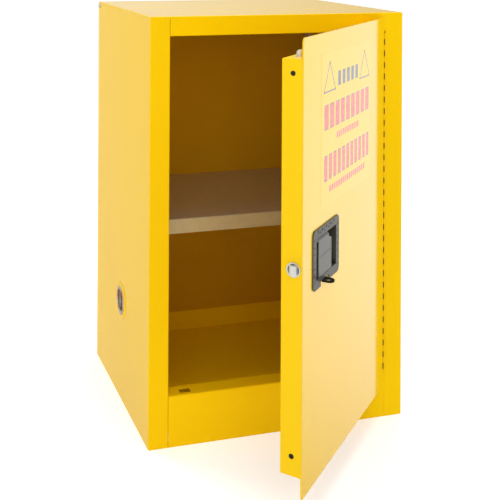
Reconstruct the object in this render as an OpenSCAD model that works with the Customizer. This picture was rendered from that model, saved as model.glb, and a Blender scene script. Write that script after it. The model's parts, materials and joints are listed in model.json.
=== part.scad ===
// Single-door flammable storage cabinet with double sheet-steel walls.
// Origin: on the floor under the middle of the cabinet. Front faces -Y.
// Door pieces are drawn in the door's own frame (closed door, z from the
// floor, origin on the hinge axis) and turned open by on_door().

/* [Cabinet] */
// Outside width
cabinet_w = 584; // [560:1:620]
// Outside height
cabinet_h = 889; // [885:1:920]
// Outside depth
cabinet_d = 457; // [440:1:500]
// Sheet steel thickness
sheet = 1.2; // [1:0.1:1.3]
// Outside radius of the folded edges
bend_r = 2.4; // [2:0.1:3]
// Visible width of each front post
post_w = 43; // [40:1:44]
// Height of the header rail over the opening
header_h = 41; // [38:1:44]
// Height of the raised sill under the opening
sill_h = 105; // [103:1:108]
// Depth of the sill's ledge
ledge_d = 41; // [40:1:44]
// Depth of the leak-proof well below the sill
sump_d = 51; // [45:1:55]

/* [Door] */
// How far the door stands open at rest, in degrees
door_open = 43; // [0:1:120]
// Thickness of the door behind its front sheet
door_t = 41; // [38:0.5:42]
// Lowest edge of the door's front sheet
skin_low = 71; // [68:1:76]
// Highest edge of the door's front sheet
skin_high = 878; // [870:1:880]
// Number of hinge knuckles
knuckles = 58; // [40:2:60]
// Height of one hinge knuckle with its gap
knuckle_pitch = 12.7; // [12.6:0.05:12.75]

/* [Latch] */
// Height of the latch bolt's centre
latch_z = 470.5; // [464:0.5:476]
// Travel of the latch bolt
bolt_travel = 12.6; // [12:0.1:13]
// Swing of the pull paddle, in degrees
paddle_swing = 35; // [30:1:36]
// Swing of each bell crank, in degrees
crank_swing = 25; // [22:1:26]
// Radius of the locking rods
rod_r = 6; // [5:0.5:6]
// How far each rod stands out of the door's edge
rod_out = 12.5; // [10:0.5:13]

/* [Shelf] */
// Height of the shelf's top surface
shelf_z = 450; // [400:1:520]
// Depth of the shelf's front lip
shelf_lip = 31; // [25:1:40]

/* [Vents] */
// Height of the low vent on the left side
low_vent_z = 224; // [180:1:260]
// Height of the high vent on the right side
high_vent_z = 700; // [640:1:720]
// Radius of the raised boss around a vent
boss_r = 41; // [40:1:44]
// Bore radius of the two-inch vent socket
vent_bore_r = 26.5; // [26:0.1:27]

/* [Hidden] */
$fn = 40;
eps = 0.01;

safety_yellow = [0.98, 0.78, 0.06];
zinc = [0.76, 0.77, 0.76];
charcoal = [0.33, 0.33, 0.31];
near_black = [0.08, 0.08, 0.08];

// Cabinet levels and planes
front_y = -cabinet_d / 2;
back_y = cabinet_d / 2;
side_x = cabinet_w / 2;
open_x = side_x - post_w;
open_top = cabinet_h - header_h;
air_gap = post_w - 3 * sheet;
wall_top = cabinet_h - bend_r;
pan_floor_z = sill_h - sump_d;
base_z = 14;
base_flange = 18;
jamb_d = 34;
header_return = 36;
back_flange = 15;
sill_bend_r = 3;
inner_x = open_x + sheet;
inner_back_y = back_y - sheet - air_gap - sheet;
inner_front_y = front_y + 24.5;

// Hinge axis, just in front of the frame
door_play = 3;
hinge_x = open_x - door_play;
door_w = 2 * hinge_x;
skin_gap = 3.3;
axis_out = 0.4;
hinge_y = front_y - skin_gap - axis_out;
knuckle_r = 3.2;
hinge_pin_r = 1.55;
hinge_bore_r = 1.6;
knuckle_gap = 0.2;
hinge_z = sill_h + 2.8;
hinge_len = knuckles * knuckle_pitch;
leaf_t = 1.4;
frame_leaf_d = 25;
door_leaf_w = 30;
leaf_notch = 7;

// Door planes in the door's own frame: y grows inwards
skin_y = axis_out;
skin_edge_x = -leaf_notch;
free_x = -door_w;
hem_w = 14;
hem_t = 1.4;
pan_y = skin_y + sheet + hem_t;
pan_back_y = skin_y + door_t;
pan_low = sill_h + 2.5;
pan_high = open_top - 7.5;
label_t = 0.2;
label_x = free_x + 90;
label_w = 297;
label_low = 555;
label_high = 840;

// Latch rods and the slots that take them
rod_x = free_x + 35;
rod_y = 21.4;
slot_w = 24;
slot_d = 15;
slot_x = hinge_x + rod_x + door_play;
slot_y = hinge_y + rod_y;
rod_play = 0.08;

// Paddle housing
flange_l = free_x + 46;
flange_r = free_x + 184;
flange_low = latch_z - 52;
flange_high = latch_z + 55.5;
flange_t = 2.5;
flange_corner = 10;
well_l = free_x + 61.5;
well_r = free_x + 168;
well_low = latch_z - 34.6;
well_high = latch_z + 39.5;
well_d = 22;
well_wall = 2;
notch_l = free_x + 85;
notch_r = free_x + 128;
notch_high = well_low - 8;

// Paddle
paddle_x = free_x + 78;
paddle_y = 5.2;
paddle_l = paddle_x - 4.8;
paddle_r = free_x + 141.5;
paddle_low = well_low + 1;
paddle_high = well_high - 3.2;
paddle_face_y = -2;
paddle_plate_t = 2.4;
paddle_pin_r = 2;
barrel_r = 4;
tail_reach = bolt_travel / (2 * sin(paddle_swing / 2));
tail_half = 5;
tail_tip_r = 2.5;

// Latch linkage, layered behind the housing
plate_y = well_d + axis_out;
plate_t = 2;
carriage_y = plate_y + plate_t + 0.2;
carriage_t = 2;
crank_y = carriage_y + carriage_t + 0.2;
crank_t = 2.2;
crank_x = free_x + 68;
crank_rise = 64;
crank_arm = bolt_travel / (2 * sin(crank_swing / 2));
rod_travel = rod_out + 0.5;
rod_arm = rod_travel / (2 * sin(crank_swing / 2));
crank_pin_r = 3;
crank_pin_play = 0.15;
crank_stud_r = 4;
crank_play = 0.05;
bolt_half_h = 9;
bolt_t = 14;
bolt_y = 17.4;
bolt_off = 1.2;
bolt_out = 10;
bolt_tail_x = free_x + 24;
ring_r = 13;
ring_bore_r = 10.6;

// Shelf
shelf_half_w = 246;
shelf_front_y = front_y + 62;
shelf_back_y = 186;
standard_d = 4;
standard_w = 16;
standard_ys = [-150, 150];
slot_pitch = 25;

// Vents
vent_y = -8;
vent_tube_r = vent_bore_r + 2.4;
vent_depth = sheet + air_gap + sheet;
boss_h = 2.4;
bung_rim_r = 30.5;
rim_seat = 1;

// Levelling feet
foot_xs = [-250, 250];
foot_ys = [-175, 190];
foot_r = 5;
foot_pad_r = 17;
foot_pad_t = 10;
foot_top = 46;

// --- Shared shapes -------------------------------------------------------

// A quarter ring: one folded corner of a sheet, turned to its quadrant
module quarter_bend(r, t, turn) {
    rotate(turn)
        intersection() {
            difference() {
                circle(r);
                circle(r - t);
            }
            square(r);
        }
}

// Extrudes a (y, z) profile along x, centred
module along_x(length) {
    translate([-length / 2, 0, 0])
        rotate([90, 0, 90])
            linear_extrude(length)
                children();
}

// A block with rounded upper edges and corners, its foot on z = 0
module soft_block(w, d, h, r) {
    hull() {
        for (x = [r, w - r], y = [r, d - r])
            translate([x, y, 0]) {
                cylinder(r = eps, h = h, $fn = 24);
                cylinder(r = r, h = h - r, $fn = 24);
                translate([0, 0, h - r])
                    sphere(r, $fn = 24);
            }
    }
}

// A sheet tray, closed at the top, with rounded folds
module sheet_tray(w, d, h, r, t) {
    difference() {
        soft_block(w, d, h, r);
        translate([t, t, -1])
            soft_block(w - 2 * t, d - 2 * t, h - t + 1, r - t);
    }
}

// A plate with rounded corners, lying in x and z, thickness along +y
module face_plate(x0, x1, z0, z1, t, r) {
    translate([0, t, 0])
        rotate([90, 0, 0])
            linear_extrude(t) {
                translate([x0 + r, z0])
                    square([x1 - x0 - 2 * r, z1 - z0]);
                translate([x0, z0 + r])
                    square([x1 - x0, z1 - z0 - 2 * r]);
                for (x = [x0 + r, x1 - r], z = [z0 + r, z1 - r])
                    translate([x, z])
                        circle(r);
            }
}

// A box given by its lowest and highest corners
module span(low, high) {
    translate(low)
        cube(high - low);
}

// A round bar along y from y0 to y1
module y_bar(x, z, r, y0, y1) {
    translate([x, y0, z])
        rotate([-90, 0, 0])
            cylinder(r = r, h = y1 - y0);
}

// A round bar along x from x0 to x1
module x_bar(y, z, r, x0, x1) {
    translate([x0, y, z])
        rotate([0, 90, 0])
            cylinder(r = r, h = x1 - x0);
}

// A coil of round wire along +z
module coil(r, wire_r, turns, length) {
    steps = 12;
    sides = 6;
    count = turns * steps;
    points = [
        for (i = [0 : count], j = [0 : sides - 1])
            let (a = 360 * i / steps, b = 360 * j / sides)
            [
                (r + wire_r * cos(b)) * cos(a),
                (r + wire_r * cos(b)) * sin(a),
                length * i / count + wire_r * sin(b)
            ]
    ];
    skin = [
        for (i = [0 : count - 1], j = [0 : sides - 1])
            [
                i * sides + j,
                (i + 1) * sides + j,
                (i + 1) * sides + (j + 1) % sides,
                i * sides + (j + 1) % sides
            ]
    ];
    start_cap = [for (j = [0 : sides - 1]) j];
    end_cap = [for (j = [0 : sides - 1]) count * sides + sides - 1 - j];
    polyhedron(points, concat(skin, [start_cap, end_cap]), convexity = 10);
}

// Turns door pieces from the closed position to the rest position
module on_door() {
    translate([hinge_x, hinge_y, 0])
        rotate([0, 0, door_open])
            children();
}

// --- Outer case ----------------------------------------------------------

// Plan of a side: post with its jamb, side sheet and rear flange
module side_plan() {
    r = bend_r;
    translate([r, r])
        quarter_bend(r, sheet, 180);
    translate([r, 0])
        square([post_w - 2 * r, sheet]);
    translate([post_w - r, r])
        quarter_bend(r, sheet, 270);
    translate([post_w - sheet, r])
        square([sheet, jamb_d - r]);
    translate([0, r])
        square([sheet, cabinet_d - 2 * r]);
    translate([r, cabinet_d - r])
        quarter_bend(r, sheet, 90);
    translate([r, cabinet_d - sheet])
        square([back_flange - r, sheet]);
}

// A side panel as the left one, with its vent hole
module side_sheet(vent_z) {
    difference() {
        translate([-side_x, front_y, 0]) {
            linear_extrude(wall_top)
                side_plan();
            span([sheet, bend_r, 0], [base_flange, cabinet_d - bend_r, sheet]);
        }
        x_bar(vent_y, vent_z, vent_tube_r, -side_x - 1, -side_x + sheet + 1);
    }
}

// Ground screw position on the left side
ground_y = 213;
ground_z = 879;
ground_hole_r = 2.5;

module left_side_panel() {
    color(safety_yellow)
        difference() {
            side_sheet(low_vent_z);
            span([-open_x - 2, front_y + 4.6, latch_z - 12],
                 [-open_x + 1, front_y + 23, latch_z + 12]);
            x_bar(ground_y, ground_z, ground_hole_r, -side_x - 1, -side_x + 2);
        }
}

module right_side_panel() {
    color(safety_yellow)
        mirror([1, 0, 0])
            side_sheet(high_vent_z);
}

module outer_back_panel() {
    color(safety_yellow)
        span([-side_x + bend_r, back_y - 2 * sheet, 0],
             [side_x - bend_r, back_y - sheet, wall_top]);
}

module top_panel() {
    color(safety_yellow)
        translate([-side_x, front_y, wall_top])
            intersection() {
                sheet_tray(cabinet_w, cabinet_d, bend_r, bend_r, sheet);
                cube([cabinet_w, cabinet_d, bend_r]);
            }
}

module header_rail() {
    r = bend_r;
    color(safety_yellow)
        difference() {
            translate([0, front_y, 0])
                along_x(2 * open_x) {
                    translate([0, open_top + r])
                        square([sheet, wall_top - open_top - r]);
                    translate([r, open_top + r])
                        quarter_bend(r, sheet, 180);
                    translate([r, open_top])
                        square([header_return - r, sheet]);
                }
            rod_slot(open_top);
        }
}

// The slot that a locking rod enters, through a sheet at height z
module rod_slot(z) {
    span([slot_x - slot_w / 2, slot_y - slot_d / 2, z - 3],
         [slot_x + slot_w / 2, slot_y + slot_d / 2, z + 3]);
}

module door_sill() {
    r = sill_bend_r;
    back_r = bend_r;
    color(safety_yellow)
        difference() {
            translate([0, front_y, 0])
                along_x(2 * open_x) {
                    square([base_flange, sheet]);
                    square([sheet, sill_h - r]);
                    translate([r, sill_h - r])
                        quarter_bend(r, sheet, 90);
                    translate([r, sill_h - sheet])
                        square([ledge_d - r - back_r, sheet]);
                    translate([ledge_d - back_r, sill_h - back_r])
                        quarter_bend(back_r, sheet, 0);
                    translate([ledge_d - sheet, pan_floor_z])
                        square([sheet, sill_h - back_r - pan_floor_z]);
                }
            rod_slot(sill_h);
        }
}

module base_panel() {
    color(safety_yellow)
        difference() {
            span([-side_x + sheet, front_y + jamb_d, base_z],
                 [side_x - sheet, back_y - 2 * sheet, base_z + sheet]);
            for (x = foot_xs, y = foot_ys)
                translate([x, y, base_z - 1])
                    cylinder(r = foot_r + 0.5, h = 4);
        }
}

// --- Inner liner ---------------------------------------------------------

module inner_side_wall(vent_z) {
    difference() {
        span([-inner_x - sheet, inner_front_y, pan_floor_z],
             [-inner_x, inner_back_y + sheet, open_top + sheet]);
        x_bar(vent_y, vent_z, vent_tube_r, -inner_x - 2, -inner_x + 1);
    }
}

module inner_left_wall() {
    color(safety_yellow)
        inner_side_wall(low_vent_z);
}

module inner_right_wall() {
    color(safety_yellow)
        mirror([1, 0, 0])
            inner_side_wall(high_vent_z);
}

module inner_back_wall() {
    color(safety_yellow)
        span([-inner_x, inner_back_y, pan_floor_z],
             [inner_x, inner_back_y + sheet, open_top + sheet]);
}

module inner_ceiling() {
    color(safety_yellow)
        span([-inner_x - sheet, front_y + jamb_d, open_top + sheet],
             [inner_x + sheet, inner_back_y + sheet, open_top + 2 * sheet]);
}

// Leak-proof well: a tray with its open side up
module sump_pan() {
    front = front_y + ledge_d;
    depth = inner_back_y - front;
    wall_h = sump_d - 4;
    color(safety_yellow)
        translate([-inner_x, front, pan_floor_z])
            difference() {
                cube([2 * inner_x, depth, wall_h]);
                translate([sheet, sheet, sheet])
                    cube([2 * (inner_x - sheet), depth - 2 * sheet, wall_h]);
            }
}

// Channels that space and stiffen the double side walls
module wall_stiffeners() {
    web = 30;
    low = 70;
    high = 830;
    color(zinc)
        for (side = [0, 1], y = [-120, 120])
            mirror([side, 0, 0])
                translate([-side_x + sheet, y - web / 2, low])
                    linear_extrude(high - low)
                        difference() {
                            square([air_gap, web]);
                            translate([sheet, sheet])
                                square([air_gap, web - 2 * sheet]);
                        }
}

// --- Shelf ---------------------------------------------------------------

module shelf_standards() {
    low = 120;
    high = 820;
    slots = floor((high - low - 40) / slot_pitch);
    color(zinc)
        for (side = [0, 1], y = standard_ys)
            mirror([side, 0, 0])
                difference() {
                    span([-inner_x, y - standard_w / 2, low],
                         [-inner_x + standard_d, y + standard_w / 2, high]);
                    span([-inner_x - 1, y - standard_w / 2 + sheet, low - 1],
                         [-inner_x + standard_d - sheet,
                          y + standard_w / 2 - sheet, high + 1]);
                    for (i = [0 : slots])
                        translate([0, 0, low + 20 + slot_pitch * i])
                            span([-inner_x + 1, y - 2.5, 0],
                                 [-inner_x + standard_d + 1, y + 2.5, 8]);
                }
}

// Bent clips that carry the shelf, one on each standard
module shelf_clips() {
    ledge = 14;
    top = shelf_z - sheet;
    wall_x = -inner_x + standard_d;
    color(zinc)
        for (side = [0, 1], y = standard_ys)
            mirror([side, 0, 0]) {
                span([wall_x, y - 7, top - 26],
                     [wall_x + 1.5, y + 7, top]);
                span([wall_x, y - 7, top - 1.5],
                     [wall_x + ledge, y + 7, top]);
                span([wall_x, y - 0.75, top - 22],
                     [wall_x + ledge - 5, y + 0.75, top]);
            }
}

module shelf() {
    lip_r = 2.2;
    lip_return = 8;
    side_flange = 12;
    rear_flange = 18;
    w = 2 * shelf_half_w;
    color(zinc) {
        translate([0, shelf_front_y, shelf_z])
            along_x(w) {
                translate([0, -shelf_lip])
                    square([sheet, shelf_lip - lip_r]);
                translate([lip_r, -lip_r])
                    quarter_bend(lip_r, sheet, 90);
                translate([0, -shelf_lip])
                    square([lip_return, sheet]);
                translate([lip_r, -sheet])
                    square([shelf_back_y - shelf_front_y - lip_r, sheet]);
                translate([shelf_back_y - shelf_front_y - sheet, -rear_flange])
                    square([sheet, rear_flange]);
            }
        for (side = [0, 1])
            mirror([side, 0, 0])
                for (run = [[shelf_front_y + sheet, standard_ys[0] - 9],
                            [standard_ys[0] + 9, standard_ys[1] - 9],
                            [standard_ys[1] + 9, shelf_back_y - sheet]])
                    span([-shelf_half_w, run[0], shelf_z - side_flange],
                         [-shelf_half_w + sheet, run[1], shelf_z - eps]);
    }
}

// --- Vents ---------------------------------------------------------------

// Turns a (radius, depth) profile about the vent's axis; depth runs inwards
module vent_turned(z) {
    translate([-side_x, vent_y, z])
        rotate([0, 90, 0])
            rotate_extrude($fn = 96)
                children();
}

module vent_boss(z) {
    top_r = boss_r - 5.5;
    seat_r = bung_rim_r + 0.4;
    vent_turned(z)
        polygon([
            [vent_tube_r, -rim_seat], [seat_r, -rim_seat],
            [seat_r, -boss_h], [top_r - 1, -boss_h],
            [top_r, 0.6 - boss_h], [boss_r - 0.6, -0.8], [boss_r, 0],
            [vent_tube_r, 0]
        ]);
}

module vent_socket(z) {
    vent_turned(z)
        translate([vent_bore_r, -rim_seat])
            square([vent_tube_r - vent_bore_r, rim_seat + vent_depth]);
}

// Flame-arrester screen: a perforated disc near the inner end
module vent_screen(z) {
    hole_r = 1.9;
    pitch = 6.4;
    rings = 3;
    screen_depth = 31;
    translate([-side_x + screen_depth, vent_y, z])
        rotate([0, 90, 0])
            difference() {
                cylinder(r = vent_bore_r, h = sheet);
                translate([0, 0, -1]) {
                    cylinder(r = hole_r, h = 4);
                    for (k = [1 : rings], i = [0 : 6 * k - 1])
                        rotate([0, 0, 360 * i / (6 * k)])
                            translate([pitch * k, 0, 0])
                                cylinder(r = hole_r, h = 4, $fn = 20);
                }
            }
}

// Hollow threaded plug with two gripping lugs across its cup
module vent_bung(z) {
    floor_depth = 13;
    cup_r = 23.5;
    rim_t = 2;
    face = -rim_seat - rim_t;
    plug_r = vent_bore_r - 0.1;
    lug_y = 11;
    lug_half = 3;
    vent_turned(z)
        polygon([
            [0, floor_depth - 2], [cup_r, floor_depth - 2],
            [cup_r, face + 1.2], [cup_r + 1.2, face], [bung_rim_r - 1, face],
            [bung_rim_r, face + 1], [bung_rim_r, -rim_seat],
            [plug_r, -rim_seat],
            [plug_r, floor_depth], [0, floor_depth]
        ]);
    translate([-side_x, vent_y, z])
        for (s = [-1, 1])
            span([0, s * lug_y - lug_half, -20],
                 [floor_depth - 1, s * lug_y + lug_half, 20]);
}

module left_vent_boss() { color(safety_yellow) vent_boss(low_vent_z); }
module left_vent_socket() { color(zinc) vent_socket(low_vent_z); }
module left_vent_screen() { color(zinc) vent_screen(low_vent_z); }
module left_vent_bung() { color(zinc) vent_bung(low_vent_z); }

module right_vent_boss() {
    color(safety_yellow) mirror([1, 0, 0]) vent_boss(high_vent_z);
}
module right_vent_socket() {
    color(zinc) mirror([1, 0, 0]) vent_socket(high_vent_z);
}
module right_vent_screen() {
    color(zinc) mirror([1, 0, 0]) vent_screen(high_vent_z);
}
module right_vent_bung() {
    color(zinc) mirror([1, 0, 0]) vent_bung(high_vent_z);
}

// Screw for a grounding wire, with a slotted head and a washer
module ground_screw() {
    head_r = 5;
    head_t = 2.6;
    washer_r = 6;
    color(zinc)
        difference() {
            translate([-side_x, ground_y, ground_z])
                rotate([0, -90, 0]) {
                    cylinder(r = washer_r, h = 0.8);
                    cylinder(r = head_r, h = 0.8 + head_t);
                    translate([0, 0, -9])
                        cylinder(r = ground_hole_r - 0.05, h = 10);
                }
            span([-side_x - 5, ground_y - 0.6, ground_z - 6],
                 [-side_x - 2, ground_y + 0.6, ground_z + 6]);
        }
}

// --- Hinge ---------------------------------------------------------------

// Every other knuckle of the hinge, starting at the given one
module knuckle_row(first) {
    for (i = [first : 2 : knuckles - 1])
        translate([0, 0, hinge_z + i * knuckle_pitch + knuckle_gap / 2])
            children();
}

module frame_hinge_leaf() {
    tall = knuckle_pitch - knuckle_gap;
    clear = skin_gap + axis_out;
    color(safety_yellow)
        translate([hinge_x, hinge_y, 0])
            difference() {
                union() {
                    knuckle_row(0) {
                        cylinder(r = knuckle_r, h = tall);
                    }
                    knuckle_row(0) {
                        span([hinge_bore_r, 0, 0],
                             [hinge_bore_r + leaf_t, clear + 1, tall]);
                    }
                    span([hinge_bore_r, clear, hinge_z],
                         [hinge_bore_r + leaf_t, clear + frame_leaf_d,
                          hinge_z + hinge_len]);
                }
                translate([0, 0, hinge_z - 1])
                    cylinder(r = hinge_bore_r, h = hinge_len + 2);
            }
}

module door_hinge_leaf() {
    tall = knuckle_pitch - knuckle_gap;
    color(safety_yellow)
        on_door()
            difference() {
                union() {
                    knuckle_row(1) {
                        cylinder(r = knuckle_r, h = tall);
                    }
                    knuckle_row(1) {
                        span([-leaf_notch - 1, hinge_bore_r, 0],
                             [0, hinge_bore_r + leaf_t, tall]);
                    }
                    span([-door_leaf_w, hinge_bore_r, hinge_z],
                         [-leaf_notch, hinge_bore_r + leaf_t,
                          hinge_z + hinge_len]);
                }
                translate([0, 0, hinge_z - 1])
                    cylinder(r = hinge_bore_r, h = hinge_len + 2);
            }
}

module hinge_pin() {
    head_r = 2.6;
    head_t = 1.2;
    color(zinc)
        translate([hinge_x, hinge_y, hinge_z]) {
            translate([0, 0, -head_t])
                cylinder(r = head_r, h = head_t);
            cylinder(r = hinge_pin_r, h = hinge_len);
            translate([0, 0, hinge_len])
                cylinder(r = head_r, h = head_t);
        }
}

// Plate behind the left jamb that the latch bolt enters
module strike_plate() {
    color(zinc)
        difference() {
            span([-inner_x - 1.5, front_y + 3.2, latch_z - 30],
                 [-inner_x, front_y + 24, latch_z + 30]);
            span([-inner_x - 3, front_y + 5.2, latch_z - 11],
                 [-inner_x + 1, front_y + 22, latch_z + 11]);
        }
}

// --- Levelling feet ------------------------------------------------------

module foot_nuts() {
    nut_r = 10;
    nut_t = 8;
    color(zinc)
        for (x = foot_xs, y = foot_ys)
            translate([x, y, base_z + sheet])
                difference() {
                    cylinder(r = nut_r, h = nut_t, $fn = 6);
                    translate([0, 0, -1])
                        cylinder(r = foot_r + 0.05, h = nut_t + 2);
                }
}

module foot(x, y) {
    color(near_black)
        translate([x, y, 0]) {
            cylinder(r1 = foot_pad_r - 1, r2 = foot_pad_r, h = 1, $fn = 48);
            translate([0, 0, 1])
                cylinder(r = foot_pad_r, h = foot_pad_t - 4);
            translate([0, 0, foot_pad_t - 3])
                cylinder(r = 9, h = 3, $fn = 6);
            cylinder(r = foot_r, h = foot_top);
        }
}

module foot_front_left() { foot(foot_xs[0], foot_ys[0]); }
module foot_front_right() { foot(foot_xs[1], foot_ys[0]); }
module foot_back_left() { foot(foot_xs[0], foot_ys[1]); }
module foot_back_right() { foot(foot_xs[1], foot_ys[1]); }

// --- Door shell ----------------------------------------------------------

// The four small studs that hold the housing
stud_r = 2.5;
stud_xs = [flange_l + 7, flange_r - 7];
stud_zs = [flange_low + 7, flange_high - 7];

// The front sheet's outline: round at the top, nearly square at the bottom
module skin_outline(right_x, t) {
    corner = 9;
    low_corner = 2.5;
    face_plate(free_x, right_x, skin_low, skin_high, t, corner);
    face_plate(free_x, free_x + 2 * corner, skin_low, skin_low + 2 * corner,
               t, low_corner);
}

module door_skin() {
    color(safety_yellow)
        on_door()
            difference() {
                union() {
                    translate([0, skin_y, 0])
                        skin_outline(skin_edge_x, sheet);
                    translate([0, skin_y + sheet - eps, 0])
                        difference() {
                            skin_outline(-door_leaf_w, hem_t + eps);
                            span([free_x + hem_w, -1, skin_low + hem_w],
                                 [0, hem_t + 1, skin_high - hem_w]);
                        }
                }
                span([well_l - well_wall - 0.5, 0, well_low - well_wall - 0.5],
                     [well_r + well_wall + 0.5, 4, well_high + well_wall + 0.5]);
                for (x = stud_xs, z = stud_zs)
                    y_bar(x, z, stud_r + 0.1, -1, 5);
            }
}

// Height of the two plugged holes in the free edge
plug_zs = [pan_low + 35.5, pan_high - 25.5];
plug_hole_r = 3.4;
edge_mid_y = 20;

module door_pan() {
    w = door_w + skin_edge_x;
    h = pan_high - pan_low;
    depth = pan_back_y - pan_y;
    flange = 12;
    color(safety_yellow)
        on_door()
            difference() {
                union() {
                    translate([free_x, pan_y, pan_high])
                        rotate([-90, 0, 0])
                            sheet_tray(w, h, depth, bend_r, sheet);
                    for (z = [pan_low, pan_high - flange])
                        span([free_x + hem_w, skin_y + sheet, z],
                             [-door_leaf_w, pan_y + sheet, z + flange]);
                }
                for (z = plug_zs)
                    x_bar(edge_mid_y, z, plug_hole_r, free_x - 1, free_x + 4);
                x_bar(bolt_y, latch_z, ring_bore_r + 1.6,
                      free_x - 1, free_x + 4);
                translate([rod_x, rod_y, pan_low - 1])
                    cylinder(r = rod_r + 1.5, h = h + 2);
            }
}

// Channel that joins the front sheet and the pan inside the door
module door_stiffener() {
    web = 28;
    x = -170;
    low = pan_low + 14;
    high = pan_high - 14;
    depth = pan_back_y - sheet - skin_y - sheet;
    color(zinc)
        on_door()
            translate([x, skin_y + sheet, low])
                linear_extrude(high - low)
                    difference() {
                        square([web, depth]);
                        translate([sheet, sheet])
                            square([web - 2 * sheet, depth]);
                    }
}

// Blank film label on the upper half of the door
module label_panel() {
    color([0.97, 0.86, 0.5])
        on_door()
            translate([0, skin_y - label_t, 0])
                face_plate(label_x, label_x + label_w, label_low, label_high,
                           label_t, 6);
}

// --- Paddle handle -------------------------------------------------------

// The opening that the paddle's tail swings in, behind the paddle
module tail_slot() {
    half_w = 11;
    span([paddle_x - half_w, well_d - 10, latch_z - tail_half - 2],
         [paddle_x + half_w, well_d + 6, latch_z + tail_half + 2]);
}

// Shallow pits in rows around the housing's face
module flange_pits() {
    pit_r = 1.7;
    pit_d = 1.6;
    side_pitch = 12.6;
    side_low = well_low - 1.8;
    top_pitch = 21;
    top_z = flange_high - 5;
    start_y = skin_y - flange_t - 1;
    floor_y = skin_y - flange_t + pit_d;
    for (i = [0 : 6], x = [flange_l + 6, flange_r - 9])
        y_bar(x, side_low + i * side_pitch, pit_r, start_y, floor_y);
    for (i = [0 : 4], lift = [-1.2, 1.2])
        y_bar(flange_l + 25 + i * top_pitch, top_z + lift, pit_r,
              start_y, floor_y);
    for (i = [0 : 3])
        y_bar(flange_l + 35.5 + i * top_pitch, top_z - 3.4, pit_r,
              start_y, floor_y);
}

module paddle_housing() {
    face_y = skin_y - flange_t;
    color(charcoal)
        on_door()
            difference() {
                union() {
                    translate([0, face_y, 0])
                        face_plate(flange_l, flange_r, flange_low,
                                   flange_high, flange_t, flange_corner);
                    span([well_l - well_wall, skin_y - eps,
                          well_low - well_wall],
                         [well_r + well_wall, skin_y + well_d,
                          well_high + well_wall]);
                    for (x = stud_xs, z = stud_zs)
                        y_bar(x, z, stud_r, skin_y - eps, skin_y + 8);
                }
                span([well_l, face_y - 1, well_low],
                     [well_r, skin_y + well_d - well_wall, well_high]);
                span([notch_l, face_y - 1, flange_low - 1],
                     [notch_r, skin_y, notch_high]);
                tail_slot();
                translate([paddle_x, paddle_y, well_low - 5])
                    cylinder(r = paddle_pin_r, h = well_high - well_low + 10);
                flange_pits();
            }
}

module housing_nuts() {
    nut_t = 4;
    color(zinc)
        on_door()
            for (x = stud_xs, z = stud_zs)
                difference() {
                    translate([x, skin_y + sheet + 0.2, z])
                        rotate([-90, 0, 0])
                            cylinder(r = 4.6, h = nut_t, $fn = 6);
                    y_bar(x, z, stud_r + 0.05, 0, 10);
                }
}

// Eye for a padlock, standing out under the paddle
module padlock_tab() {
    tab_t = 3;
    half = 11;
    reach = 9;
    x = (notch_l + notch_r) / 2;
    z = well_low - 13;
    eye_r = 5.2;
    color(near_black)
        on_door()
            difference() {
                union() {
                    span([x - half, -reach, z], [x + half, skin_y, z + tab_t]);
                    translate([x, -reach, z])
                        cylinder(r = half, h = tab_t);
                    span([x - half, skin_y - 1.6, z],
                         [x + half, skin_y, notch_high - 0.2]);
                }
                translate([x, -reach, z - 1])
                    cylinder(r = eye_r, h = tab_t + 2);
                span([x - half, skin_y, z - 1],
                     [x + half, skin_y + half, z + tab_t + 1]);
            }
}

// Angle of the paddle's tail at rest, from straight inwards
tail_rest = paddle_swing / 2;

module paddle() {
    inner_y = paddle_face_y + paddle_plate_t;
    grip_d = 8;
    step_w = 14;
    step_z = latch_z + 28;
    corner_z = step_z - 5;
    lip_h = 3.2;
    lip_d = 3;
    lip_l = well_l + 2.5;
    groove_z = latch_z + 2;
    plate_top = paddle_high - lip_h;
    hub_h = 2 * tail_half + 5;
    hub_zs = [paddle_low, latch_z - tail_half, plate_top - hub_h - 1];
    color(charcoal)
        on_door()
            difference() {
                union() {
                    translate([0, inner_y, 0])
                        rotate([90, 0, 0])
                            linear_extrude(paddle_plate_t)
                                polygon([
                                    [paddle_l, paddle_low],
                                    [paddle_r, paddle_low],
                                    [paddle_r, corner_z],
                                    [paddle_r - step_w, step_z],
                                    [paddle_r - step_w, plate_top],
                                    [paddle_l, plate_top]
                                ]);
                    translate([lip_l, 0, 0])
                        rotate([90, 0, 90])
                            linear_extrude(paddle_r - step_w - lip_l)
                                polygon([
                                    [paddle_face_y, plate_top - eps],
                                    [paddle_face_y + lip_d, paddle_high],
                                    [inner_y + lip_d, paddle_high],
                                    [inner_y + 1, plate_top - 2],
                                    [inner_y - eps, plate_top - 2],
                                    [inner_y - eps, plate_top - eps]
                                ]);
                    span([paddle_r - 2.4, inner_y - eps, paddle_low + 2],
                         [paddle_r, inner_y + grip_d, corner_z - 1]);
                    for (z = hub_zs) {
                        translate([paddle_x, paddle_y, z])
                            cylinder(r = barrel_r, h = hub_h);
                        span([paddle_x - barrel_r, inner_y - 1, z],
                             [paddle_x + barrel_r, paddle_y, z + hub_h]);
                    }
                    translate([paddle_x, paddle_y, latch_z - tail_half])
                        rotate([0, 0, tail_rest]) {
                            span([-2.2, 0, 0],
                                 [2.2, tail_reach, 2 * tail_half]);
                            translate([0, tail_reach, 0])
                                cylinder(r = tail_tip_r, h = 2 * tail_half);
                        }
                }
                translate([paddle_x, paddle_y, paddle_low - 1])
                    cylinder(r = paddle_pin_r + 0.05,
                             h = paddle_high - paddle_low + 2);
                span([paddle_l + 8, paddle_face_y - 1, groove_z],
                     [paddle_r + 1, paddle_face_y + 0.5, groove_z + 0.8]);
            }
}

module paddle_pin() {
    color(zinc)
        on_door()
            translate([paddle_x, paddle_y, well_low - well_wall])
                cylinder(r = paddle_pin_r,
                         h = well_high - well_low + 2 * well_wall);
}

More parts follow.
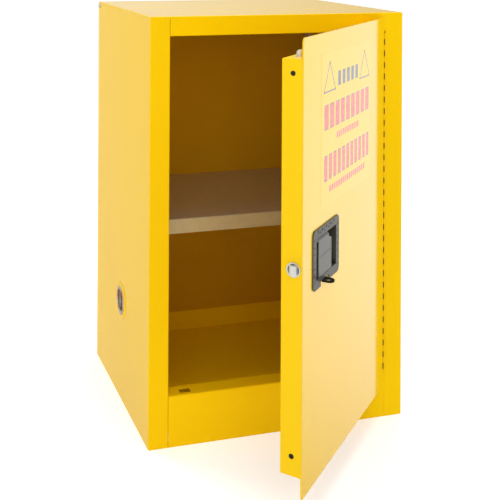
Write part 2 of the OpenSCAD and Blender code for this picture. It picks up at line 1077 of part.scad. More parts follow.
// Torsion spring around the pin, between two of the paddle's hubs
module paddle_spring() {
    color(zinc)
        on_door()
            translate([paddle_x, paddle_y, paddle_low + 17])
                coil(2.65, 0.4, 8, 11);
}

// --- Latch linkage -------------------------------------------------------

// A straight slot in x and z for a pin that also drifts along z or x
module pin_slot(x, z, r, run_x, run_z, y0, y1) {
    for (s = [-1, 1])
        y_bar(x + s * run_x / 2, z + s * run_z / 2, r, y0, y1);
    span([x - max(run_x / 2, r * sign(run_z)), y0,
          z - max(run_z / 2, r * sign(run_x))],
         [x + max(run_x / 2, r * sign(run_z)), y1,
          z + max(run_z / 2, r * sign(run_x))]);
}

module latch_mount_plate() {
    half_h = crank_rise + 16;
    low_x = free_x + 46;
    high_x = free_x + 100;
    color(zinc)
        on_door()
            difference() {
                union() {
                    span([low_x, plate_y, latch_z - half_h],
                         [high_x, plate_y + plate_t, latch_z + half_h]);
                    span([low_x, bolt_y - 6, latch_z - 8],
                         [low_x + 2, plate_y + eps, latch_z + 8]);
                    for (s = [-1, 1])
                        y_bar(crank_x, latch_z + s * crank_rise, crank_stud_r,
                              plate_y, crank_y + crank_t + 2);
                }
                tail_slot();
            }
}

// Strap that holds the sliding carriage against the mount plate
module carriage_keeper() {
    low_x = free_x + 90;
    high_x = free_x + 98;
    half = bolt_half_h + 0.3;
    top_y = carriage_y + carriage_t + 0.2;
    color(zinc)
        on_door() {
            for (s = [0, 1])
                translate([0, 0, latch_z])
                    mirror([0, 0, s])
                        span([low_x, plate_y + plate_t, half],
                             [high_x, top_y + 1.5, half + 3]);
            span([low_x, top_y, latch_z - half - 1],
                 [high_x, top_y + 1.5, latch_z + half + 1]);
        }
}

module pivot_clips() {
    color(near_black)
        on_door()
            for (s = [-1, 1])
                difference() {
                    y_bar(crank_x, latch_z + s * crank_rise, 6.5,
                          crank_y + crank_t + 0.2, crank_y + crank_t + 1.2);
                    y_bar(crank_x, latch_z + s * crank_rise, crank_stud_r,
                          crank_y, crank_y + crank_t + 3);
                }
}

// Carriage pins sit half a swing to the free-edge side at rest
half_swing = crank_swing / 2;
drive_x = crank_x - crank_arm * sin(half_swing);
drive_z = crank_rise - crank_arm * (1 + cos(half_swing)) / 2;
tail_x = paddle_x - tail_reach * sin(tail_rest);

module bolt_carriage() {
    arm_half = 8;
    low_x = free_x + 10;
    high_x = free_x + 104;
    y1 = carriage_y + carriage_t;
    color(zinc)
        on_door()
            difference() {
                union() {
                    span([low_x, carriage_y, latch_z - bolt_half_h],
                         [high_x, y1, latch_z + bolt_half_h]);
                    span([drive_x - arm_half, carriage_y,
                          latch_z - drive_z - 10],
                         [drive_x + arm_half, y1, latch_z + drive_z + 10]);
                }
                for (s = [-1, 1])
                    pin_slot(drive_x, latch_z + s * drive_z,
                             crank_pin_r + crank_pin_play, 0, 2,
                             carriage_y - 1, y1 + 1);
                span([tail_x - tail_tip_r - 0.3, carriage_y - 1,
                      latch_z - tail_half - 1],
                     [tail_x + tail_tip_r + 0.3, y1 + 1,
                      latch_z + tail_half + 1]);
            }
}

module latch_bolt() {
    tip_x = free_x - bolt_out;
    spring_r = 3.9;
    mid_y = bolt_y - bolt_off;
    color(zinc)
        on_door()
            difference() {
                union() {
                    intersection() {
                        span([tip_x, mid_y - bolt_t / 2,
                              latch_z - bolt_half_h],
                             [bolt_tail_x, mid_y + bolt_t / 2,
                              latch_z + bolt_half_h]);
                        x_bar(bolt_y, latch_z, ring_bore_r - 0.25,
                              tip_x - 1, bolt_tail_x + 1);
                    }
                    span([bolt_tail_x - 14, bolt_y, latch_z - bolt_half_h],
                         [bolt_tail_x, carriage_y, latch_z + bolt_half_h]);
                }
                translate([tip_x - eps, bolt_y + 2, latch_z - 15])
                    rotate([0, 0, 45])
                        cube([12, 12, 30]);
                x_bar(bolt_y, latch_z, spring_r, bolt_tail_x - 20,
                      bolt_tail_x + 1);
            }
}

// Round collar in the free edge that the bolt slides through
module bolt_bushing() {
    proud = 1.6;
    color(zinc)
        on_door()
            difference() {
                union() {
                    x_bar(bolt_y, latch_z, ring_r, free_x - proud, free_x);
                    x_bar(bolt_y, latch_z, ring_bore_r + 1.6,
                          free_x - eps, free_x + 7);
                }
                x_bar(bolt_y, latch_z, ring_bore_r, free_x - 5, free_x + 10);
            }
}

// Spring that pushes the bolt out, drawn at its compressed length
module bolt_spring() {
    color(zinc)
        on_door()
            translate([free_x + 45.4, bolt_y, latch_z])
                rotate([0, -90, 0])
                    coil(3.1, 0.5, 10, 27);
}

// Bell crank above the carriage; the lower one is its mirror image
module crank_above() {
    angle = half_swing;
    ear = 6;
    pin_a = [-crank_arm * sin(angle), -crank_arm * cos(angle)];
    pin_b = [-rod_arm * cos(angle), rod_arm * sin(angle)];
    translate([crank_x, 0, crank_rise])
        difference() {
            union() {
                y_bar(0, 0, 8, crank_y, crank_y + crank_t);
                for (p = [pin_a, pin_b]) {
                    y_bar(p[0], p[1], ear, crank_y, crank_y + crank_t);
                    y_bar(p[0], p[1], crank_pin_r, carriage_y + 0.1,
                          crank_y + eps);
                }
                translate([0, crank_y, 0])
                    rotate([0, angle, 0]) {
                        span([-5, 0, -crank_arm], [5, crank_t, 0]);
                        span([-rod_arm, 0, -5], [0, crank_t, 5]);
                    }
            }
            y_bar(0, 0, crank_stud_r + crank_play, 0, crank_y + crank_t + 1);
        }
}

module upper_bell_crank() {
    color(zinc)
        on_door()
            translate([0, 0, latch_z])
                crank_above();
}

module lower_bell_crank() {
    color(zinc)
        on_door()
            translate([0, 0, latch_z])
                mirror([0, 0, 1])
                    crank_above();
}

// Upper rod, z measured from the latch centre; the lower one is a mirror
module locking_rod(tip_z) {
    grip_z = crank_rise + rod_arm * sin(half_swing);
    tongue_low = grip_z - 8;
    tongue_half = 8;
    round_low = grip_z + 10;
    slot_cx = crank_x - rod_arm * (1 + cos(half_swing)) / 2;
    difference() {
        union() {
            span([slot_cx - tongue_half, carriage_y, tongue_low],
                 [slot_cx + tongue_half, carriage_y + carriage_t,
                  round_low + 4]);
            translate([rod_x, rod_y, round_low])
                cylinder(r = rod_r, h = tip_z - round_low);
        }
        pin_slot(slot_cx, grip_z, crank_pin_r + crank_pin_play, 2, 0,
                 carriage_y - 1, carriage_y + carriage_t + 1);
        translate([rod_x - 10, rod_y + 1, tip_z + eps])
            rotate([45, 0, 0])
                translate([0, 0, -12])
                    cube([20, 12, 12]);
    }
}

module top_rod() {
    color(zinc)
        on_door()
            translate([0, 0, latch_z])
                locking_rod(pan_high + rod_out - latch_z);
}

module bottom_rod() {
    color(zinc)
        on_door()
            translate([0, 0, latch_z])
                mirror([0, 0, 1])
                    locking_rod(latch_z - pan_low + rod_out);
}

// Brackets that guide the rods inside the door
module rod_guides() {
    half = 13;
    color(zinc)
        on_door()
            for (z = [pan_low + 80, pan_high - 80])
                difference() {
                    union() {
                        span([rod_x - half, rod_y - 10, z],
                             [rod_x + half, pan_back_y - sheet, z + 2]);
                        span([rod_x - half, pan_back_y - sheet - 2, z],
                             [rod_x + half, pan_back_y - sheet, z + 18]);
                    }
                    translate([rod_x, rod_y, z - 1])
                        cylinder(r = rod_r + rod_play, h = 4);
                }
}

// Collars around the rods in the door's top and bottom edges
module rod_bushings() {
    collar_r = 9;
    collar_t = 1.8;
    color(zinc)
        on_door()
            for (end = [[pan_low, 1], [pan_high, 0]])
                translate([rod_x, rod_y, end[0]])
                    mirror([0, 0, end[1]])
                        difference() {
                            union() {
                                cylinder(r = collar_r, h = collar_t);
                                translate([0, 0, -6])
                                    cylinder(r = rod_r + 1.5, h = 6 + eps);
                            }
                            translate([0, 0, -7])
                                cylinder(r = rod_r + rod_play, h = 12);
                        }
}

// Push-in plugs in the two spare holes of the free edge
module hole_plugs() {
    color(near_black)
        on_door()
            for (z = plug_zs)
                translate([free_x, edge_mid_y, z])
                    rotate([0, -90, 0]) {
                        cylinder(r1 = 4.6, r2 = 4, h = 1.1);
                        translate([0, 0, -5])
                            cylinder(r = plug_hole_r - 0.05, h = 5 + eps);
                    }
}

// --- Parts ---------------------------------------------------------------

left_side_panel();
right_side_panel();
outer_back_panel();
top_panel();
header_rail();
door_sill();
base_panel();
inner_left_wall();
inner_right_wall();
inner_back_wall();
inner_ceiling();
sump_pan();
wall_stiffeners();
shelf_standards();
shelf_clips();
shelf();
left_vent_boss();
left_vent_socket();
left_vent_screen();
left_vent_bung();
right_vent_boss();
right_vent_socket();
right_vent_screen();
right_vent_bung();
ground_screw();
frame_hinge_leaf();
hinge_pin();
strike_plate();
foot_nuts();
foot_front_left();
foot_front_right();
foot_back_left();
foot_back_right();
door_skin();
door_pan();
door_hinge_leaf();
door_stiffener();
label_panel();
paddle_housing();
housing_nuts();
padlock_tab();
paddle();
paddle_pin();
paddle_spring();
latch_mount_plate();
carriage_keeper();
pivot_clips();
bolt_carriage();
latch_bolt();
bolt_bushing();
bolt_spring();
upper_bell_crank();
lower_bell_crank();
top_rod();
bottom_rod();
rod_guides();
rod_bushings();
hole_plugs();
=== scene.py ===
"""Looks for the flammable storage cabinet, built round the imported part.

Every CAD node keeps its shape and gets a procedural material. The printed
marks on the door label are the only shapes added. Lengths are in metres.
"""

import json
import math

import bmesh
import bpy
from mathutils import Matrix, Vector


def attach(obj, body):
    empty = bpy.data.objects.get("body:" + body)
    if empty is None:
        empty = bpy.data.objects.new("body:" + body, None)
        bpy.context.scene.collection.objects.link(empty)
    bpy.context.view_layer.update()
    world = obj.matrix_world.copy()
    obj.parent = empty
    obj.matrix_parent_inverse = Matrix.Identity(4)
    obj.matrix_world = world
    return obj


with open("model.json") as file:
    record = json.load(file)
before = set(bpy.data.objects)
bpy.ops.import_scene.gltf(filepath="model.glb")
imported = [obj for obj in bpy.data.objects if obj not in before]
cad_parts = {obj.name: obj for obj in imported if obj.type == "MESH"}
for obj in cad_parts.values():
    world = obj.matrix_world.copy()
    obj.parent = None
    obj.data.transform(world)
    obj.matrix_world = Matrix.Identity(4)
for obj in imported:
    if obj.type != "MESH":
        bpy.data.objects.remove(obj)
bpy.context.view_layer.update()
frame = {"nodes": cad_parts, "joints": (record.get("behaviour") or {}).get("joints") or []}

MM = 0.001

# --- The door's own frame -------------------------------------------------

joints = {joint["name"]: joint for joint in frame["joints"]}
hinge = joints["door_swing"]
door_open = -math.radians(hinge["range_deg"][0])
hinge_x, hinge_y, _ = hinge["pos_m"]
door_pivot = (hinge_x, hinge_y, 0.0)
door_place = Matrix.Translation(door_pivot) @ Matrix.Rotation(door_open, 4, "Z")


def door_corner(node):
    """Lowest corner of a node in the closed door's frame."""
    back = door_place.inverted()
    points = [back @ v.co for v in frame["nodes"][node].data.vertices]
    return Vector([min(p[i] for p in points) for i in range(3)])


# --- Shader graph helpers -------------------------------------------------

# The parts of a noise's range that its values mostly fill.
MIDDLE = (0.3, 0.7)
WIDE = (0.2, 0.8)


class Graph:
    """Adds and links the nodes of one node tree."""

    def __init__(self, tree):
        self.tree = tree

    def add(self, kind, **settings):
        node = self.tree.nodes.new(kind)
        for key, value in settings.items():
            setattr(node, key, value)
        return node

    def feed(self, socket, value):
        """Links a socket to another, or sets its value."""
        if isinstance(value, bpy.types.NodeSocket):
            self.tree.links.new(value, socket)
        elif isinstance(value, tuple) and len(value) == 3 and socket.type == "RGBA":
            socket.default_value = (*value, 1.0)
        else:
            socket.default_value = value

    def span(self, value, start, end, low=0.0, high=1.0):
        """Maps start..end to low..high, smoothly and clamped."""
        node = self.add("ShaderNodeMapRange", interpolation_type="SMOOTHSTEP")
        self.feed(node.inputs["Value"], value)
        self.feed(node.inputs["From Min"], start)
        self.feed(node.inputs["From Max"], end)
        self.feed(node.inputs["To Min"], low)
        self.feed(node.inputs["To Max"], high)
        return node.outputs["Result"]

    def calc(self, a, b, operation="ADD"):
        node = self.add("ShaderNodeMath", operation=operation)
        self.feed(node.inputs[0], a)
        self.feed(node.inputs[1], b)
        return node.outputs["Value"]

    def times(self, a, b):
        return self.calc(a, b, "MULTIPLY")

    def dot(self, a, b):
        node = self.add("ShaderNodeVectorMath", operation="DOT_PRODUCT")
        self.feed(node.inputs[0], a)
        self.feed(node.inputs[1], b)
        return node.outputs["Value"]

    def axis(self, vector, name):
        """One component of a vector: X, Y or Z."""
        node = self.add("ShaderNodeSeparateXYZ")
        self.feed(node.inputs["Vector"], vector)
        return node.outputs[name]


class Paint(Graph):
    """The node tree of one surface material."""

    def __init__(self, name, roughness=0.4, metallic=0.0):
        self.material = bpy.data.materials.new(name)
        self.material.use_nodes = True
        super().__init__(self.material.node_tree)
        self.shader = self.tree.nodes["Principled BSDF"]
        self.set("Roughness", roughness)
        self.set("Metallic", metallic)
        self.place = self.add("ShaderNodeTexCoord").outputs["Object"]

    def set(self, name, value):
        self.feed(self.shader.inputs[name], value)

    def along_door(self, stretch):
        """Object coordinates in the closed door's directions, stretched."""
        turn = self.add("ShaderNodeVectorRotate", rotation_type="Z_AXIS")
        self.feed(turn.inputs["Vector"], self.place)
        self.feed(turn.inputs["Center"], door_pivot)
        self.feed(turn.inputs["Angle"], -door_open)
        scale = self.add("ShaderNodeVectorMath", operation="MULTIPLY")
        self.feed(scale.inputs[0], turn.outputs["Vector"])
        self.feed(scale.inputs[1], stretch)
        return scale.outputs["Vector"]

    def noise(self, scale, detail=2.0, rough=0.5, place=None):
        node = self.add("ShaderNodeTexNoise")
        self.feed(node.inputs["Vector"], place or self.place)
        self.feed(node.inputs["Scale"], scale)
        self.feed(node.inputs["Detail"], detail)
        self.feed(node.inputs["Roughness"], rough)
        return node.outputs["Fac"]

    def cells(self, scale):
        """(colour, distance) of Voronoi cells."""
        node = self.add("ShaderNodeTexVoronoi")
        self.feed(node.inputs["Vector"], self.place)
        self.feed(node.inputs["Scale"], scale)
        return node.outputs["Color"], node.outputs["Distance"]

    def mix(self, share, a, b):
        node = self.add("ShaderNodeMix", data_type="RGBA")
        self.feed(node.inputs["Factor"], share)
        self.feed(node.inputs[6], a)
        self.feed(node.inputs[7], b)
        return node.outputs[2]

    def face(self):
        """The surface's own normal."""
        return self.add("ShaderNodeNewGeometry").outputs["Normal"]

    def soft_normal(self, radius):
        """The normal with every edge rounded by radius."""
        node = self.add("ShaderNodeBevel", samples=4)
        self.feed(node.inputs["Radius"], radius)
        return node.outputs["Normal"]

    def edges(self, radius):
        """Near 1 along outside and inside corners, 0 on flats."""
        flat, sharp = 0.99, 0.82
        return self.span(self.dot(self.soft_normal(radius), self.face()), flat, sharp)

    def shelter(self, distance):
        """Near 1 in pits and recesses no deeper than distance."""
        bare, hidden = 0.85, 0.25
        node = self.add("ShaderNodeAmbientOcclusion", samples=6, only_local=True)
        self.feed(node.inputs["Distance"], distance)
        return self.span(node.outputs["AO"], bare, hidden)

    def bump(self, height, distance, strength, normal=None):
        node = self.add("ShaderNodeBump")
        self.feed(node.inputs["Height"], height)
        self.feed(node.inputs["Distance"], distance)
        self.feed(node.inputs["Strength"], strength)
        if normal is not None:
            self.feed(node.inputs["Normal"], normal)
        self.set("Normal", node.outputs["Normal"])


# --- Materials ------------------------------------------------------------

WHITE = (1.0, 1.0, 1.0)
WARM_SHINE = (1.0, 0.85, 0.25)


def powder_coat(name, body=(0.955, 0.60, 0.002), shine=WARM_SHINE):
    """Glossy safety yellow powder coat over sheet steel, with painted highlights on its
    edges.
    """
    pale_edge_highlight = (1.0, 0.68, 0.01)
    bare_steel = (0.20, 0.16, 0.10)
    deep = (body[0] * 0.98, body[1] * 0.97, body[2])
    g = Paint(name)
    colour = g.mix(g.span(g.noise(2.5), *MIDDLE), deep, body)
    # Painted highlight: the colour turns paler and brighter along edges and bends.
    colour = g.mix(g.times(g.edges(0.9 * MM), 0.5), colour, pale_edge_highlight)
    speck = g.span(g.noise(420, 3, 0.7), 0.66, 0.72)
    worn = g.times(speck, g.edges(0.4 * MM))
    g.set("Base Color", g.mix(g.times(worn, 0.6), colour, bare_steel))
    g.set("Specular Tint", shine)
    smear = g.span(g.noise(11, 3, 0.6), 0.42, 0.75, 0.0, 0.03)
    fine = g.span(g.noise(900), *WIDE, 0.08, 0.11)
    g.set("Roughness", g.calc(smear, fine))
    g.bump(g.noise(520), 0.003 * MM, 0.3, g.soft_normal(0.8 * MM))
    return g.material


def shaded_knuckle_coat(name):
    """The yellow coat with painted brown shade where a knuckle turns to the left."""
    shade_brown_dark = (0.16, 0.075, 0.012)
    shade_brown_light = (0.26, 0.12, 0.012)
    g = Paint(name)
    left = g.span(g.axis(g.face(), "X"), -0.40, -0.58)
    mottle = g.noise(300, 3, 0.6)
    brown = g.mix(g.span(mottle, *MIDDLE), shade_brown_dark, shade_brown_light)
    # Painted shade: faces turned to the left, towards the gap by the door, are painted
    # brown.
    g.set("Base Color", g.mix(left, (0.93, 0.57, 0.004), brown))
    g.set("Roughness", g.span(mottle, *MIDDLE, 0.12, 0.22))
    g.set("Specular Tint", WARM_SHINE)
    g.bump(mottle, 0.01 * MM, 0.3, g.soft_normal(0.3 * MM))
    return g.material


def zinc_plate(name):
    """Bright zinc plate with fine drawn lines, a pale frosted share, painted shade and edge
    highlights.
    """
    bright, warm, frost = (0.80, 0.81, 0.80), (0.74, 0.74, 0.68), (0.66, 0.67, 0.66)
    recess_shade, rim = (0.12, 0.12, 0.10), (0.92, 0.92, 0.9)
    g = Paint(name, metallic=0.5)
    lines = g.noise(60, 5, 0.7, g.along_door((1, 1, 60)))
    colour = g.mix(g.span(g.noise(45, 3), 0.35, 0.65), bright, warm)
    colour = g.mix(g.span(lines, *MIDDLE), colour, frost)
    # Painted shade: pits and recesses are darkened.
    colour = g.mix(g.times(g.shelter(6 * MM), 0.7), colour, recess_shade)
    # Painted highlight: edges turn toward the pale rim colour.
    g.set("Base Color", g.mix(g.times(g.edges(0.5 * MM), 0.6), colour, rim))
    g.set("Roughness", g.span(lines, *WIDE, 0.20, 0.34))
    g.bump(lines, 0.02 * MM, 0.4, g.soft_normal(0.3 * MM))
    return g.material


def passivated_zinc(name):
    """Zinc with a rainbow chromate film for the vent bungs; painted shade and edge
    highlights.
    """
    straw, brown = (0.64, 0.62, 0.48), (0.52, 0.28, 0.15)
    pink, green = (0.68, 0.38, 0.36), (0.40, 0.60, 0.28)
    cup_shade, rim = (0.26, 0.12, 0.05), (0.88, 0.88, 0.85)
    g = Paint(name, metallic=0.45)
    film = g.noise(30, 3)
    colour = g.mix(g.span(film, 0.38, 0.48), straw, brown)
    colour = g.mix(g.span(film, 0.50, 0.56), colour, pink)
    colour = g.mix(g.span(film, 0.57, 0.64), colour, green)
    # Painted shade: the recessed cup is darkened to brown.
    colour = g.mix(g.times(g.shelter(20 * MM), 0.8), colour, cup_shade)
    # Painted highlight: edges turn toward the pale rim colour.
    g.set("Base Color", g.mix(g.times(g.edges(0.9 * MM), 0.7), colour, rim))
    g.set("Roughness", g.span(g.noise(160, 4), *MIDDLE, 0.24, 0.40))
    g.bump(g.noise(240, 3), 0.03 * MM, 0.4, g.soft_normal(0.4 * MM))
    return g.material


def galvanised(name):
    """Hot-dip sheet: soft grey crystals with faint borders, and painted edge highlights."""
    dark, light = (0.60, 0.60, 0.59), (0.66, 0.66, 0.65)
    dull, rim = (0.62, 0.61, 0.58), (0.95, 0.94, 0.92)
    g = Paint(name, metallic=0.75)
    crystal, border = g.cells(120)
    split = g.add("ShaderNodeSeparateColor")
    g.feed(split.inputs["Color"], crystal)
    shade = split.outputs["Red"]
    frost = g.noise(240, 4, 0.7)
    grey = g.mix(shade, dark, light)
    grey = g.mix(g.span(frost, *MIDDLE, 0.0, 0.4), grey, dull)
    # Painted highlight: edges turn toward the pale rim colour.
    g.set("Base Color", g.mix(g.times(g.edges(0.7 * MM), 0.7), grey, rim))
    rough = g.span(shade, 0.0, 1.0, 0.30, 0.36)
    g.set("Roughness", g.calc(rough, g.span(frost, *WIDE, 0.0, 0.05)))
    g.bump(border, 0.02 * MM, 0.25, g.soft_normal(0.5 * MM))
    return g.material


def charcoal_paint(name, shine=0.18, edge_highlight=(0.20, 0.21, 0.23), pit=3 * MM):
    """Satin textured paint on a die-cast part, with painted shade in pits and recesses and
    painted edge highlights.
    """
    dark, light, shadow = (0.062, 0.059, 0.043), (0.078, 0.075, 0.056), (0.008, 0.007, 0.005)
    g = Paint(name)
    grain = g.noise(700, 3, 0.6)
    grey = g.mix(g.span(g.noise(30, 3), *MIDDLE), dark, light)
    # Painted shade: pits and recesses are darkened and lose their shine.
    recess_shade = g.calc(g.shelter(25 * MM), g.shelter(pit), "MAXIMUM")
    grey = g.mix(g.times(recess_shade, 0.85), grey, shadow)
    # Painted highlight: edges are lightened toward a paler grey.
    g.set("Base Color", g.mix(g.times(g.edges(0.6 * MM), 0.5), grey, edge_highlight))
    g.set("Specular IOR Level", g.times(shine, g.calc(1.0, recess_shade, "SUBTRACT")))
    g.set("Roughness", g.span(grain, *WIDE, 0.26, 0.40))
    g.bump(grain, 0.05 * MM, 0.4, g.soft_normal(0.5 * MM))
    return g.material


def black_plastic(name):
    """Moulded black polymer with a light spark texture."""
    g = Paint(name)
    grain = g.noise(1100, 3, 0.6)
    g.set("Base Color", g.mix(grain, (0.004, 0.004, 0.003), (0.016, 0.015, 0.013)))
    g.set("Roughness", g.span(grain, *WIDE, 0.34, 0.52))
    g.set("Specular IOR Level", 0.3)
    g.bump(grain, 0.04 * MM, 0.5, g.soft_normal(0.4 * MM))
    return g.material


def spring_steel(name):
    """Dark oil-tempered wire."""
    g = Paint(name, metallic=1.0)
    streak = g.noise(180, 4, 0.7)
    g.set("Base Color", g.mix(streak, (0.24, 0.24, 0.25), (0.44, 0.43, 0.42)))
    g.set("Roughness", g.span(streak, *WIDE, 0.28, 0.45))
    g.bump(streak, 0.02 * MM, 0.4)
    return g.material


def label_film(name):
    """Clear film over the yellow door, a touch paler and softer."""
    g = Paint(name)
    g.set("Base Color", g.mix(g.noise(20, 3), (0.94, 0.60, 0.010), (0.96, 0.63, 0.020)))
    g.set("Roughness", g.span(g.noise(60, 3), *MIDDLE, 0.08, 0.11))
    g.bump(g.noise(130, 3), 0.006 * MM, 0.4)
    return g.material


def ink(name, body, faded):
    """Printed ink, a little uneven under the film."""
    g = Paint(name)
    patch = g.noise(150, 4, 0.65)
    g.set("Base Color", g.mix(g.span(patch, 0.35, 0.7), body, faded))
    g.set("Roughness", g.span(patch, *MIDDLE, 0.08, 0.12))
    g.bump(g.noise(900), 0.004 * MM, 0.5)
    return g.material


def dress(nodes, material):
    """Gives CAD nodes one finished material."""
    for node in nodes:
        mesh = frame["nodes"][node].data
        for i in range(len(mesh.materials)):
            mesh.materials[i] = material


def dress_all():
    """Finishes every CAD node by its slot, then the ones that look different."""
    finishes = {
        "safety_yellow": powder_coat("safety_yellow_coat"),
        "zinc_plate": zinc_plate("zinc_plate_finish"),
        "galvanised": galvanised("galvanised_finish"),
        "charcoal_paint": charcoal_paint("charcoal_finish"),
        "black_plastic": black_plastic("black_plastic_finish"),
        "spring_steel": spring_steel("spring_steel_finish"),
        "label_film": label_film("label_film_finish"),
    }
    for name, node in frame["nodes"].items():
        slot = node.data.materials[0].name.split(".")[0]
        dress([name], finishes[slot])
    inner_walls = ("inner_left_wall", "inner_right_wall", "inner_back_wall", "inner_ceiling")
    paddle_highlight_grey = (0.38, 0.42, 0.50)
    dress(("left_vent_bung", "right_vent_bung"), passivated_zinc("passivated_zinc_finish"))
    # Painted shade: the inner walls get a darker, more orange copy of the yellow coat.
    dress(inner_walls, powder_coat("inside_shade_coat", body=(0.66, 0.35, 0.008)))
    dress(["door_skin"], powder_coat("door_coat", shine=WHITE))
    # The paddle's edges get a paler blue-grey painted highlight.
    dress(["paddle"], charcoal_paint("paddle_finish", 0.5, paddle_highlight_grey, 1 * MM))
    # The hinge knuckles and pin get painted shade on their left-facing sides.
    dress(("frame_hinge_leaf", "hinge_pin"), shaded_knuckle_coat("knuckle_painted_shade"))


dress_all()

# --- Printed marks on the label ------------------------------------------

label = door_corner("label_panel")
# How far each ink stands proud of the film, with red over its slate rim,
# and how far the back of every mark lies inside the film.
RIM_RISE = 0.04 * MM
INK_RISE = 0.06 * MM
BAND_RISE = 0.08 * MM
INK_SINK = 0.06 * MM


def plate(bm, outline, rise):
    """A thin printed patch with the given (x, z) outline, on the label."""
    front = [bm.verts.new((x, label.y - rise, z)) for x, z in outline]
    back = [bm.verts.new((x, label.y + INK_SINK, z)) for x, z in outline]
    bm.faces.new(front)
    bm.faces.new(list(reversed(back)))
    for i in range(len(outline)):
        j = (i + 1) % len(outline)
        bm.faces.new((front[j], front[i], back[i], back[j]))


def rounded(x0, x1, z0, z1, radius, steps=4):
    """Outline of a rectangle with rounded corners."""
    left, right = x0 + radius, x1 - radius
    low, high = z0 + radius, z1 - radius
    corners = ((right, high, 0), (left, high, 90), (left, low, 180), (right, low, 270))
    points = []
    for cx, cz, start in corners:
        for i in range(steps + 1):
            a = math.radians(start + 90 * i / steps)
            points.append((cx + radius * math.cos(a), cz + radius * math.sin(a)))
    return points


def printed(name, outlines, material, rise):
    """Separate printed patches as one piece on the door's label."""
    bm = bmesh.new()
    for outline in outlines:
        plate(bm, outline, rise)
    bmesh.ops.recalc_face_normals(bm, faces=bm.faces)
    mesh = bpy.data.meshes.new(name)
    bm.to_mesh(mesh)
    bm.free()
    mesh.transform(door_place)
    mesh.materials.append(material)
    piece = bpy.data.objects.new(name, mesh)
    bpy.context.scene.collection.objects.link(piece)
    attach(piece, "door")


def place_on_label(sides):
    """(left, right, low, high) from the label's corner, in mm, as x and z."""
    left, right, low, high = (side * MM for side in sides)
    return label.x + left, label.x + right, label.z + low, label.z + high


def block_row(sides, count, gap, grow=0.0):
    """A row of plain blocks that fills a band, each grown by a margin."""
    corner = 1.2 * MM
    left, right, low, high = place_on_label(sides)
    width = (right - left - gap * (count - 1)) / count
    starts = [left + i * (width + gap) for i in range(count)]
    return [rounded(x - grow, x + width + grow, low - grow, high + grow, corner)
            for x in starts]


def stroke(start, end, half):
    """A straight line of the given half width, as an outline."""
    run = (Vector(end) - Vector(start)).normalized()
    side = Vector((-run.y, run.x)) * half
    a = Vector(start) - run * half
    b = Vector(end) + run * half
    return [tuple(a - side), tuple(b - side), tuple(b + side), tuple(a + side)]


def triangle(sides):
    """Three strokes round an empty triangle."""
    half = 1.3 * MM
    left, right, low, high = place_on_label(sides)
    corners = ((left, low), (right, low), ((left + right) / 2, high))
    return [stroke(corners[i - 1], corners[i], half) for i in (1, 2, 0)]


def label_marks():
    """Plain blocks and empty triangles where a label has its print.

    Sides are (left, right, low, high) in mm from the label's corner.
    """
    red = ink("red_ink", (0.80, 0.10, 0.13), (0.86, 0.20, 0.16))
    slate = ink("slate_ink", (0.10, 0.14, 0.22), (0.20, 0.22, 0.24))
    rim = 1.3 * MM
    for i, (low, high, count) in enumerate(((143, 187, 9), (48, 93, 11)), 1):
        band = ((18, 283, low, high), count, 11 * MM)
        printed(f"label_rim_{i}", block_row(*band, grow=rim), slate, RIM_RISE)
        printed(f"label_band_{i}", block_row(*band), red, BAND_RISE)
    lines = (((86, 216, 117, 129), 12), ((44, 257, 23, 35), 17))
    for i, (sides, count) in enumerate(lines, 1):
        printed(f"label_line_{i}", block_row(sides, count, 4 * MM), red, INK_RISE)
    for i, (left, right) in enumerate(((14, 77), (225, 287)), 1):
        outlines = triangle((left, right, 212, 267))
        printed(f"label_triangle_{i}", outlines, slate, INK_RISE)
    printed("label_bar", block_row((92, 212, 216, 244), 5, 10 * MM), slate, INK_RISE)


label_marks()

# --- Studio ---------------------------------------------------------------


def pale_floor():
    """Wide pale floor with a faint tone variation and a painted glow, brighter far away."""
    half_side = 30.0
    near, far = 1.0, 4.0
    dim, bright = 0.42, 0.65
    bm = bmesh.new()
    bmesh.ops.create_grid(bm, x_segments=8, y_segments=8, size=half_side)
    mesh = bpy.data.meshes.new("studio_floor")
    bm.to_mesh(mesh)
    bm.free()
    floor = bpy.data.objects.new("studio_floor", mesh)
    bpy.context.scene.collection.objects.link(floor)
    g = Paint("studio_floor_paint", roughness=0.9)
    g.set("Base Color", g.mix(g.noise(0.7, 3), (0.86, 0.86, 0.87), (0.89, 0.89, 0.90)))
    # Painted light: the floor glows, more strongly far away.
    g.set("Emission Color", WHITE)
    away = g.add("ShaderNodeVectorMath", operation="LENGTH")
    g.feed(away.inputs[0], g.place)
    g.set("Emission Strength", g.span(away.outputs["Value"], near, far, dim, bright))
    g.set("Specular IOR Level", 0.1)
    mesh.materials.append(g.material)
    floor.visible_glossy = False


class Sky(Graph):
    """The node tree of the world."""

    def __init__(self, name):
        world = bpy.data.worlds.new(name)
        bpy.context.scene.world = world
        world.use_nodes = True
        super().__init__(world.node_tree)
        self.tree.nodes.clear()
        self.view = self.add("ShaderNodeTexCoord").outputs["Generated"]
        self.rays = self.add("ShaderNodeLightPath").outputs

    def patch(self, direction, edge, centre, strength):
        """A soft bright patch, from its edge's cosine to its centre's."""
        toward = Vector(direction).normalized()
        return self.span(self.dot(self.view, toward), edge, centre, 0.0, strength)

    def glow(self, strength):
        node = self.add("ShaderNodeBackground")
        self.feed(node.inputs["Strength"], strength)
        return node.outputs["Background"]

    def choose(self, ray, other, chosen):
        """The chosen glow for one kind of ray, and the other for the rest."""
        node = self.add("ShaderNodeMixShader")
        self.feed(node.inputs["Fac"], self.rays[ray])
        self.feed(node.inputs[1], other)
        self.feed(node.inputs[2], chosen)
        return node.outputs["Shader"]


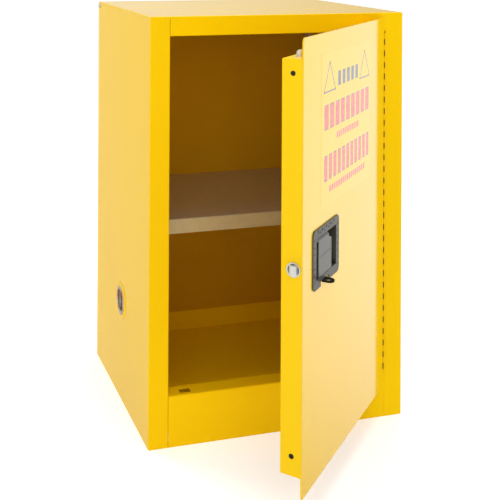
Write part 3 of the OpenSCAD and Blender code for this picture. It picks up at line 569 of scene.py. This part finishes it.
def studio_sky():
    """Even white tent light. Reflections see bright sides and a dim front.

    Each patch is its direction, the cosines of its edge and centre, and its
    strength.
    """
    right_back = ((0.91, 0.40, -0.02), 0.80, 0.99, 2.1)
    left_back = ((-0.257, 0.966, -0.15), 0.50, 0.96, 0.60)
    back = ((0.42, 0.90, 0.07), 0.86, 0.99, 0.22)
    overhead = ((0.0, 0.25, 1.0), 0.80, 0.97, 1.4)
    left = ((-0.9, -0.42, 0.0), 0.60, 0.98, 1.15)
    front = ((-0.26, -0.96, 0.0), 0.80, 0.98, 0.6)
    everywhere = 0.10
    tent_low, tent_high = 0.43, 0.54
    backdrop = 1.1
    sky = Sky("studio")
    glossy = everywhere
    for shape in (right_back, left_back, back, overhead, left, front):
        glossy = sky.calc(sky.patch(*shape), glossy)
    tent = sky.span(sky.axis(sky.view, "Z"), -0.6, 1.0, tent_low, tent_high)
    light = sky.choose("Is Glossy Ray", sky.glow(tent), sky.glow(glossy))
    shown = sky.choose("Is Camera Ray", light, sky.glow(backdrop))
    out = sky.add("ShaderNodeOutputWorld")
    sky.feed(out.inputs["Surface"], shown)


def soft_light(name, place, aim, size, power):
    """A large square light that isn't seen in reflections."""
    data = bpy.data.lights.new(name, "AREA")
    data.shape = "SQUARE"
    data.size = size
    data.energy = power
    lamp = bpy.data.objects.new(name, data)
    bpy.context.scene.collection.objects.link(lamp)
    lamp.location = place
    lamp.rotation_euler = (Vector(aim) - Vector(place)).to_track_quat("-Z", "Y").to_euler()
    lamp.visible_glossy = False


def photo_camera():
    """A level long lens whose picture lies below and right of its axis.

    The skewed rest matrix of its stand gives that off-axis picture, so a
    camera taken off the stand sees straight ahead again.
    """
    place = Vector((-0.833, -2.0316, 1.0538))
    yaw, pitch, roll = map(math.radians, (15.171, 0.136, 0.316))
    film, lens = 36.0, 66.03
    across, rise = 0.247, -0.6314
    level = math.cos(pitch)
    ahead = Vector((math.sin(yaw) * level, math.cos(yaw) * level, math.sin(pitch)))
    flat_right = Vector((math.cos(yaw), -math.sin(yaw), 0.0))
    flat_up = flat_right.cross(ahead)
    right = math.cos(roll) * flat_right + math.sin(roll) * flat_up
    up = math.cos(roll) * flat_up - math.sin(roll) * flat_right
    aim = ahead * lens + (right * across + up * rise) * film
    data = bpy.data.cameras.new("camera")
    data.sensor_width = film
    data.lens = aim.length
    data.clip_end = 200.0
    skew = Matrix((right, up, -aim.normalized())).transposed().to_4x4()
    stand = bpy.data.objects.new("camera_stand", None)
    camera = bpy.data.objects.new("camera", data)
    for item in (stand, camera):
        bpy.context.scene.collection.objects.link(item)
    camera.parent = stand
    camera.matrix_parent_inverse = Matrix.Translation(place) @ skew
    bpy.context.scene.camera = camera


pale_floor()
studio_sky()
soft_light("top_light", place=(0.3, 0.1, 2.6), aim=(0, 0, 0.5), size=1.8, power=39.0)
soft_light("key_light", place=(-0.7, -3.0, 2.2), aim=(0, -0.2, 0.7), size=2.8, power=38.0)
soft_light("side_light", place=(-2.2, 2.2, 1.5), aim=(0, 0, 0.5), size=1.4, power=37.0)
photo_camera()
bpy.context.scene.view_settings.view_transform = "Standard"
